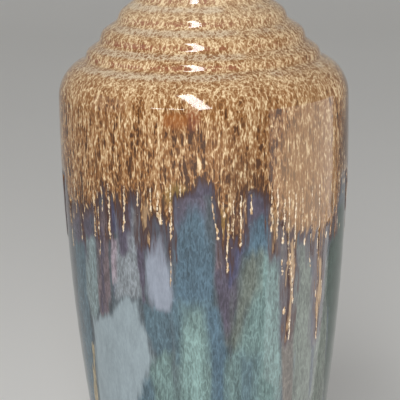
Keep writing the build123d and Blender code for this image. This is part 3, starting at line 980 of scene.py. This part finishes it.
def outside_group(net, ragged):
    """The whole outside glaze, both coats in one field, so that they meet without a seam."""
    inputs = {name.capitalize(): "colour" for name in GLAZE_COLOURS}
    outputs = {"Colour": "colour", "Height": "value", "Roughness": "value"}
    nodes, given, result = new_group("Outside glaze", inputs, outputs)
    flow = nodes.attribute("flow", "Vector")
    edge = nodes.attribute("edge")
    level = nodes.parts(nodes.places())[2]

    # Upper glaze: a net of cream strands over amber and brown streaks
    dome = nodes.step(level, *DOME_FADE)
    summit = nodes.step(level, *SUMMIT_FADE)
    low_wall = nodes.step(edge, 30.0, 3.0)
    brim = nodes.step(edge, 9.0, 1.0)
    grain = nodes.tone(flow, 1.5, 1.0)
    broad = nodes.tone(nodes.scaled(flow, 1, 1, 0.5), 0.13, 3.0, 0.55)
    holes = nodes.tone(nodes.moved(nodes.scaled(flow, 1, 1, 0.4), 31, 7, 3), 0.5, 2.0, 0.5)
    fine_flow = nodes.moved(flow, 5, 60, 11)
    long_flow = nodes.moved(nodes.scaled(flow, 1, 1, 0.34), 20, 3, 90)
    wide, fine, long = [
        nodes.group(net, vector=read, scale=scale, width=width).outputs["Mask"]
        for read, scale, width in ((flow, 0.4, 0.12), (fine_flow, 0.62, 0.14), (long_flow, 0.46, 0.09))
    ]
    long = nodes.product(long, nodes.step(dome, 1.0, 0.0))
    lit = nodes.total(0.66, (grain, 1.8))
    # Partly painted light: the dome and the summit are made paler where the top faces up to the lamps,
    # besides the glaze's own paler net
    tone = nodes.total(
        -0.02, (nodes.product(wide, lit), 0.62), (nodes.product(fine, lit), 0.36), (holes, 0.9),
        (nodes.product(long, lit), 0.5), (nodes.product(wide, dome), 0.08),
        (broad, 0.5), (dome, 0.29), (summit, 0.1), (low_wall, -0.08), (brim, -0.13), (grain, 0.15),
    )
    upper = given["Brown"]
    for name, low, high in (("Amber", -0.08, 0.22), ("Straw", 0.22, 0.6), ("Cream", 0.58, 1.0)):
        upper = nodes.mix(nodes.step(tone, low, high), upper, given[name])
    ring = nodes.attribute("ring")
    rust = nodes.product(nodes.step(ring, -0.1, -0.9, 0.0, 0.7), nodes.step(tone, 0.75, 0.35))
    upper = nodes.mix(rust, upper, given["Rust"])
    ash = nodes.product(nodes.step(ring, 0.1, 0.9, 0.0, 0.46), nodes.step(tone, 0.2, 0.6, 0.1, 1.0))
    # Partly painted light: more ash on the summit and the dome, which face up
    upper = nodes.mix(nodes.total(ash, (summit, 0.12), (dome, 0.04)), upper, given["Ash"])
    tint = nodes.add("Attribute", attribute_name="tint").outputs
    tint_share = nodes.product(tint["Alpha"], nodes.step(tone, 1.0, 0.5, 0.55, 1.0))
    upper = nodes.mix(tint_share, upper, tint["Color"])

    # Lower glaze: ground colours with flecks along the flow, and pale clouds
    fleck_flow = nodes.scaled(flow, 1, 1, 1.1)
    fleck = nodes.group(net, vector=fleck_flow, scale=0.5, width=0.12).outputs["Mask"]
    speck = nodes.tone(nodes.moved(fleck_flow, 9, 2, 40), 1.2, 2.0, 0.6)
    blotch = nodes.tone(fleck_flow, 0.2, 3.0, 0.6)
    streak = nodes.tone(nodes.scaled(flow, 1, 1, 0.25), 0.3, 3.0, 0.6)
    shade = nodes.total(0.88, (fleck, 0.45), (speck, 1.3), (blotch, 0.9), (streak, 0.9))
    lower = nodes.times(nodes.attribute("ground_colour", "Color"), shade)
    cloud = nodes.group(
        ragged, distance=nodes.attribute("cloud"), vector=nodes.scaled(flow, 1, 1, 0.5), scale=0.4,
        raggedness=9.0, softness=4.5,
    )
    cloud_shade = nodes.total(0.98, (speck, 0.4), (nodes.tone(fleck_flow, 0.3, 3.0), 0.5), (streak, 0.25))
    cloud_colour = nodes.times(nodes.attribute("cloud_colour", "Color"), cloud_shade)
    lower = nodes.mix(cloud.outputs[0], lower, cloud_colour)

    # Where the two meet: brown and plum where the upper glaze thins, violet in the halo below it
    drip_flow = nodes.scaled(flow, 1, 1, 0.4)
    wander = nodes.total(edge, (nodes.tone(flow, 0.06, 1.0), 16.0))
    halo, skirt, body = [
        nodes.group(
            ragged, vector=drip_flow, scale=0.5, distance=nodes.total(start, shift), raggedness=raggedness,
            softness=softness,
        ).outputs[0]
        for start, shift, raggedness, softness in (
            (wander, 3.0, 12.0, 7.0), (edge, 1.2, 16.0, 4.0), (edge, -1.6, 20.0, 2.0),
        )
    ]
    lower = nodes.mix(nodes.product(halo, 0.6), lower, given["Violet"])
    colour = nodes.mix(body, nodes.mix(skirt, lower, given["Plum"]), upper)

    # Thin trickles that hang from the edge, each in a narrow brown run
    strand = nodes.parts(nodes.attribute("strand", "Vector"))
    strand_size = nodes.parts(nodes.attribute("strand_size", "Vector"))
    phase = nodes.math("ARCTAN2", strand[0], strand[1])
    sway = nodes.tone(nodes.scaled(flow, 0.2, 0.2, 1.6), 0.5, 2.0)
    middle = nodes.total((nodes.product(phase, strand[2]), 1 / (2 * math.pi)), (sway, 1.8))
    swell = nodes.total(0.62, (nodes.tone(nodes.scaled(flow, 0.4, 0.4, 2.0), 0.8, 2.0, 0.6), 3.6))
    inside = nodes.math("SUBTRACT", nodes.product(strand_size[1], swell), nodes.math("ABSOLUTE", middle))
    ends = nodes.step(strand_size[0], -0.5, 0.7)
    vein = nodes.product(nodes.step(nodes.total(inside, 0.4), -0.4, 0.4), ends)
    colour = nodes.mix(nodes.product(vein, 0.2), colour, given["Brown"])
    trickle = nodes.product(nodes.step(inside, -0.14, 0.2), ends)
    glint = nodes.mix(nodes.step(grain, -0.12, 0.12), given["Straw"], given["Bead"])
    nodes.fill(result, {
        "Colour": nodes.mix(trickle, colour, glint),
        "Height": nodes.total(tone, (trickle, 0.6)),
        "Roughness": nodes.step(grain, -0.2, 0.2, 0.05, 0.08),
    })
    return nodes.tree


def new_material(name):
    """The nodes of a new material, and its shader."""
    material = bpy.data.materials.new(name)
    material.use_nodes = True
    return Nodes(material.node_tree), material.node_tree.nodes["Principled BSDF"]


def finish_material(nodes, shader, colour, roughness, height, strength, relief):
    """Link a material's colour, roughness and relief, which is as deep as given."""
    bump = nodes.add("Bump", {"Height": height, "Strength": strength, "Distance": relief})
    nodes.fill(shader, {"Base Color": colour, "Roughness": roughness, "Normal": bump.outputs[0]})


def shades(*names):
    """Colours of the palette as a shader's sockets take them."""
    return [(*getattr(settings("colours"), name), 1) for name in names]


def outside_material(name, group):
    """One coat of the outside glaze."""
    strength, relief, refraction = 0.5, 0.016 * MM, 1.52
    nodes, shader = new_material(name)
    glaze = nodes.group(group, **dict(zip(GLAZE_COLOURS, shades(*GLAZE_COLOURS)))).outputs
    finish_material(nodes, shader, glaze["Colour"], glaze["Roughness"], glaze["Height"], strength, relief)
    shader.inputs["IOR"].default_value = refraction


def clay_material(fleck):
    """Fired stoneware with iron specks, fine turning lines and a toasted band under the glaze."""
    nodes, shader = new_material("Fired clay")
    clay, toast, brown = shades("clay", "toast", "brown")
    places = nodes.places()
    specks = nodes.group(fleck, vector=places, scale=900, cover=0.34, softness=0.03, warp=0.0002)
    blotch = nodes.noise(places, 60, 4.0, 0.6)[0]
    toasted = nodes.step(nodes.total(nodes.parts(places)[2], (blotch, 0.004)), 0.0085, 0.0125)
    colour = nodes.mix(nodes.product(toasted, 0.7), clay, toast)
    colour = nodes.mix(nodes.step(blotch, 0.3, 0.7, 0.0, 0.25), colour, toast)
    colour = nodes.mix(nodes.product(specks.outputs["Mask"], 0.7), colour, brown)
    lines = nodes.noise(nodes.scaled(places, 6, 6, 1600), 1.0, 2.0)[0]
    grain = nodes.noise(places, 2500, 2.0, 0.7)[0]
    roughness = nodes.step(grain, 0.2, 0.8, 0.72, 0.92)
    finish_material(nodes, shader, colour, roughness, nodes.total(lines, (grain, 0.6)), 0.6, 0.15 * MM)


def liner_material(fleck):
    """Brown glaze of the inside, a little curdled."""
    nodes, shader = new_material("Liner glaze")
    places = nodes.scaled(nodes.places(), 1, 1, 0.4)
    curds = nodes.group(fleck, vector=places, scale=420, cover=0.45, softness=0.08, warp=0.002).outputs
    colour = nodes.mix(nodes.product(curds["Mask"], 0.5), *shades("liner", "straw"))
    roughness = nodes.step(curds["Tone"], 0.3, 0.7, 0.12, 0.2)
    finish_material(nodes, shader, colour, roughness, curds["Tone"], 0.4, 0.1 * MM)


# Operators, one for each piece or group of like pieces


class VASE_OT_materials(bpy.types.Operator):
    """Mix the glazes and the clay."""

    bl_idname = "vase.materials"
    bl_label = "Mix glazes"

    def execute(self, context):
        fleck = fleck_group()
        outside = outside_group(net_group(), ragged_group())
        outside_material("Run glaze", outside)
        outside_material("Base glaze", outside)
        liner_material(fleck)
        clay_material(fleck)
        return {"FINISHED"}


# The wall below the photograph's frame, which has fewer rows of faces
HIDDEN_STRETCH = 74 * MM
HIDDEN_ROWS, SHOWN_ROWS, INNER_ROWS = 26, 105, 8
# Rises over the base glaze's lower edge: where its roll is thickest, and up to where it is pinched and wavy
ROLL_RISE, PINCH_RISE, WANDER_TOP = 1.6 * MM, 0.5 * MM, 12 * MM
PINCH_SHARE = 0.8


class VASE_OT_base_glaze(bpy.types.Operator):
    """Lay the blue-green coat on the wall."""

    bl_idname = "vase.base_glaze"
    bl_label = "Base glaze"

    def execute(self, context):
        form, glaze = settings("form"), settings("glaze")
        shown = glaze.glaze_line + HIDDEN_STRETCH
        rows = even_steps(glaze.glaze_line, shown, HIDDEN_ROWS)
        rows += even_steps(shown, glaze.base_top, SHOWN_ROWS)[1:]
        outer = wall_points(form, rows, glaze.base_coat)
        inner = wall_points(form, even_steps(glaze.base_top, glaze.glaze_line, INNER_ROWS), 0)
        mesh = turned_mesh("base_coat", outer + inner)
        points, turns, levels = mesh_places(mesh)
        outside = profile_numbers(mesh) < len(outer)
        radius = np.hypot(points[:, 0], points[:, 1])
        above = levels * MM - glaze.glaze_line
        roll = glaze.rim_roll * hump(above, ROLL_RISE, ROLL_RISE)
        pinch = glaze.base_coat * PINCH_SHARE * hump(above, 0, PINCH_RISE)
        wander = 0.5 * MM * wave(turns, 7) + 0.35 * MM * wave(turns, 17, 2)
        moved = radius + (hand_wobble(turns, levels) + roll - pinch) * outside
        points[:, :2] *= (moved / radius)[:, None]
        points[:, 2] += wander * smoothstep(above, WANDER_TOP, 0)
        distance = distance_to_edge(turns, levels, glaze.arch_level / MM)
        finish_coat("base_coat", "base_glaze", "Base glaze", mesh, points, turns, levels, distance)
        return {"FINISHED"}


# Rows of faces over the lap, from the lap to the belly, and on the lap's hidden side
LAP_ROWS, UPPER_ROWS, LAPPED_ROWS = 24, 6, 4
# Spacing along the dome and the neck with the least steps in an arc, outside and on the hidden side
OUTER_STEPS = (2 * MM, 3)
BARE_STEPS = (9 * MM, 2)
# Rises in mm over the lap's top between which the coat gets its full depth
THICKENS = (-2, 6)
# Levels in mm between which the hand's wobble sets in, going down
STEADIES = (300, 262)
HAIR = 0.001 * MM


class VASE_OT_run_glaze(bpy.types.Operator):
    """Lay the upper coat from the mouth down to its lobes and runs."""

    bl_idname = "vase.run_glaze"
    bl_label = "Run glaze"

    def execute(self, context):
        form, glaze = settings("form"), settings("glaze")
        arch, lap_top, belly = glaze.arch_level, glaze.base_top, belly_level(form)
        rows = even_steps(arch, lap_top, LAP_ROWS) + even_steps(lap_top, belly, UPPER_ROWS)[1:]
        top = dome_chain(form, glaze.run_coat, glaze.crease_pool)
        top += neck_chain(form, glaze.run_coat, glaze.liner_coat)
        outer = wall_points(form, rows, glaze.run_coat) + points_along(top, *OUTER_STEPS)[1:]
        bare = points_along(dome_chain(form, 0, 0) + neck_chain(form, 0, 0), *BARE_STEPS)[::-1]
        lapped = even_steps(lap_top, arch, LAPPED_ROWS)[:-1]
        mesh = turned_mesh("run_coat", outer + bare + wall_points(form, lapped, glaze.base_coat + glaze.lap))
        points, turns, levels = mesh_places(mesh)
        outside = profile_numbers(mesh) < len(outer)
        level = points[:, 2]
        edge = run_edge(turns, arch / MM) * MM
        hangs = level < lap_top - HAIR
        drawn = lap_top - (lap_top - edge) * (lap_top - level) / (lap_top - arch)
        points[:, 2] = np.where(hangs, drawn, level)
        levels = points[:, 2] / MM
        distance = distance_to_edge(turns, levels, arch / MM)
        distance[profile_numbers(mesh) == 0] = 0
        full = glaze.run_coat - glaze.base_coat - glaze.lap
        swell = full * np.sin(np.clip(distance * MM / glaze.thin_edge, 0, 1) * math.pi / 2)
        onto_wall = smoothstep(levels, *[lap_top / MM + rise for rise in THICKENS])
        depth = glaze.base_coat + glaze.lap + np.where(outside, swell + (full - swell) * onto_wall, 0)
        radius = np.hypot(points[:, 0], points[:, 1])
        shaped = hangs | outside
        covered = wall_radius(form, np.minimum(points[:, 2], belly), np.where(shaped, depth, 0))
        moved = np.where((levels <= belly / MM) & shaped, covered, radius)
        moved += hand_wobble(turns, levels) * smoothstep(levels, *STEADIES) * shaped
        points[:, :2] *= (moved / radius)[:, None]
        finish_coat("run_coat", "run_glaze", "Run glaze", mesh, points, turns, levels, distance)
        return {"FINISHED"}


class VASE_OT_clay(bpy.types.Operator):
    """Give the bare clay and the inside glaze their finish."""

    bl_idname = "vase.clay"
    bl_label = "Clay and liner"

    def execute(self, context):
        finishes = {node: "Fired clay" for node in ("body_wall", "foot_ring", "shoulder", "neck")}
        finishes["liner_glaze"] = "Liner glaze"
        for node, material in finishes.items():
            piece = frame["nodes"][node]
            piece.data.materials.clear()
            piece.data.materials.append(bpy.data.materials[material])
        return {"FINISHED"}


def direction(turned, raised):
    """Unit vector at an angle from the camera's side towards the right, and at a rise over the level."""
    level = math.cos(raised)
    return Vector((math.sin(turned) * level, -math.cos(turned) * level, math.sin(raised)))


def lamp_ends(ends, origin, distance):
    """Both ends of a lamp, each at a turn and a rise in degrees as seen from an origin."""
    return [origin + direction(*map(math.radians, end)) * distance for end in ends]


def soft_box(name, first, last, target, width, radiance):
    """A rectangular lamp between the middles of its two ends, facing a target."""
    long_side = (first - last).normalized()
    middle = (first + last) / 2
    away = (middle - target).normalized()
    across = long_side.cross(away).normalized()
    data = bpy.data.lights.new(name, "AREA")
    data.shape = "RECTANGLE"
    data.size = width
    data.size_y = (first - last).length
    data.energy = radiance * data.size * data.size_y * math.pi
    lamp = stand(name, data)
    turned = Matrix((across, long_side, across.cross(long_side))).transposed().to_4x4()
    lamp.matrix_world = Matrix.Translation(middle) @ turned
    lamp.visible_camera = False
    return lamp


# Lamps in front of the shoulder: turn and rise of both ends in degrees, and radiance
FRONT_LAMPS = {
    "key_lamp": ((-20, 49), (1, 10), 17.0),
    "bar_lamp_1": ((-41, 10), (-32, 10), 14.0),
    "bar_lamp_2": ((-27, 10), (-15, 10), 14.0),
}
SHOULDER_RISE = 30 * MM
# Low window on the right: from where to where it runs and what it faces, as distances behind the axis
WINDOW_SPAN = (-200 * MM, 48 * MM)
WINDOW_FACES = -76 * MM
WINDOW_RADIANCE = 1.25
# Weak fill on the left, as far from the foot as given
FILL_ENDS = ((-80, 30), (-80, 2))
FILL_DISTANCE, FILL_WIDTH, FILL_RADIANCE = 1.8, 1.0, 0.5
AIR_STRENGTH = 0.34


class VASE_OT_studio(bpy.types.Operator):
    """Set up the camera, the lamps, the floor and the backdrop."""

    bl_idname = "vase.studio"
    bl_label = "Studio"

    def execute(self, context):
        studio = settings("studio")
        scene = context.scene
        scene.view_settings.view_transform = "Standard"
        self.add_camera(scene, studio)
        self.add_floor(studio)
        self.add_lamps(studio)
        world = bpy.data.worlds.new("Studio air")
        scene.world = world
        world.use_nodes = True
        background = world.node_tree.nodes["Background"]
        Nodes(world.node_tree).fill(background, {"Color": (1, 1, 1, 1), "Strength": AIR_STRENGTH})
        return {"FINISHED"}

    def add_lamps(self, studio):
        """A leaning soft box and two bars in front, a low window on the right, a weak fill on the left."""
        shoulder = Vector((0, 0, belly_level(settings("form")) + SHOULDER_RISE))
        for name, (*ends, radiance) in FRONT_LAMPS.items():
            width = studio.lamp_width if name == "key_lamp" else studio.bar_width
            soft_box(name, *lamp_ends(ends, shoulder, studio.lamp_distance), shoulder, width, radiance)
        middle = studio.window_height / 2
        ends = [Vector((studio.window_distance, behind, middle)) for behind in WINDOW_SPAN]
        facing = Vector((0, WINDOW_FACES, middle))
        window = soft_box("window_lamp", *ends, facing, studio.window_height, WINDOW_RADIANCE)
        lit = bpy.data.collections.new("Lit by the window")
        for piece in bpy.context.scene.objects:
            if piece.type == "MESH" and piece.name != "floor":
                lit.objects.link(piece)
        window.light_linking.receiver_collection = lit
        ends = lamp_ends(FILL_ENDS, Vector(), FILL_DISTANCE)
        soft_box("fill_lamp", *ends, Vector((0, 0, studio.aim_level)), FILL_WIDTH, FILL_RADIANCE)

    def add_camera(self, scene, studio):
        data = bpy.data.cameras.new("camera")
        data.sensor_width = 36
        data.lens = data.sensor_width * studio.distance / studio.picture_width
        away = direction(0, studio.pitch)
        place = Vector((-studio.aside, 0, studio.aim_level)) + away * studio.distance
        turned = away.to_track_quat("Z", "Y").to_matrix().to_4x4()
        scene.camera = stand("camera", data)
        scene.camera.matrix_world = Matrix.Translation(place) @ turned @ Matrix.Rotation(-studio.roll, 4, "Z")

    def add_floor(self, studio):
        """A floor that curves up into a backdrop behind the vase."""
        half, near, far, bend, top, steps = 4.0, -3.0, 2.2, 1.2, 4.0, 12
        line = [(near, 0.0), (far, 0.0)]
        for angle in even_steps(0, math.pi / 2, steps)[1:]:
            line.append((far + bend * math.sin(angle), bend * (1 - math.cos(angle))))
        line.append((far + bend, top))
        model = bmesh.new()
        verts = [model.verts.new((-half, deep, up)) for deep, up in line]
        edges = [model.edges.new(pair) for pair in zip(verts, verts[1:])]
        made = bmesh.ops.extrude_edge_only(model, edges=edges)["geom"]
        bmesh.ops.translate(model, verts=new_verts(made), vec=(2 * half, 0, 0))
        mesh = mesh_from(model, "floor")
        nodes, shader = new_material("Backdrop paper")
        tone = nodes.noise(nodes.places(), 1.5, 2.0)[0]
        paler = [min(1, value * 1.04) for value in studio.backdrop]
        colour = nodes.mix(tone, (*studio.backdrop, 1), (*paler, 1))
        nodes.fill(shader, {"Base Color": colour, "Roughness": 0.9, "Specular IOR Level": 0.1})
        mesh.materials.append(bpy.data.materials["Backdrop paper"])
        stand("floor", mesh)


class VASE_PT_panel(bpy.types.Panel):
    """Lists the steps that dress the vase, and its settings."""

    bl_idname = "VASE_PT_panel"
    bl_label = "Bottle vase"
    bl_space_type = "VIEW_3D"
    bl_region_type = "UI"
    bl_category = "Vase"

    def draw(self, context):
        for step in STEPS:
            self.layout.operator(step.bl_idname)
        for name, group in PLACES.items():
            box = self.layout.box()
            box.label(text=group.__name__)
            for item in group.__annotations__:
                box.prop(settings(name), item)


STEPS = (VASE_OT_materials, VASE_OT_base_glaze, VASE_OT_run_glaze, VASE_OT_clay, VASE_OT_studio)
CLASSES = (*PLACES.values(), *STEPS, VASE_PT_panel)


def register():
    for item in CLASSES:
        bpy.utils.register_class(item)
    for name, group in PLACES.items():
        setattr(bpy.types.Scene, "vase_" + name, bpy.props.PointerProperty(type=group))


def unregister():
    for name in PLACES:
        delattr(bpy.types.Scene, "vase_" + name)
    for item in reversed(CLASSES):
        bpy.utils.unregister_class(item)


def main():
    register()
    bpy.ops.vase.materials()
    bpy.ops.vase.base_glaze()
    bpy.ops.vase.run_glaze()
    bpy.ops.vase.clay()
    bpy.ops.vase.studio()


if __name__ == "__main__":
    main()
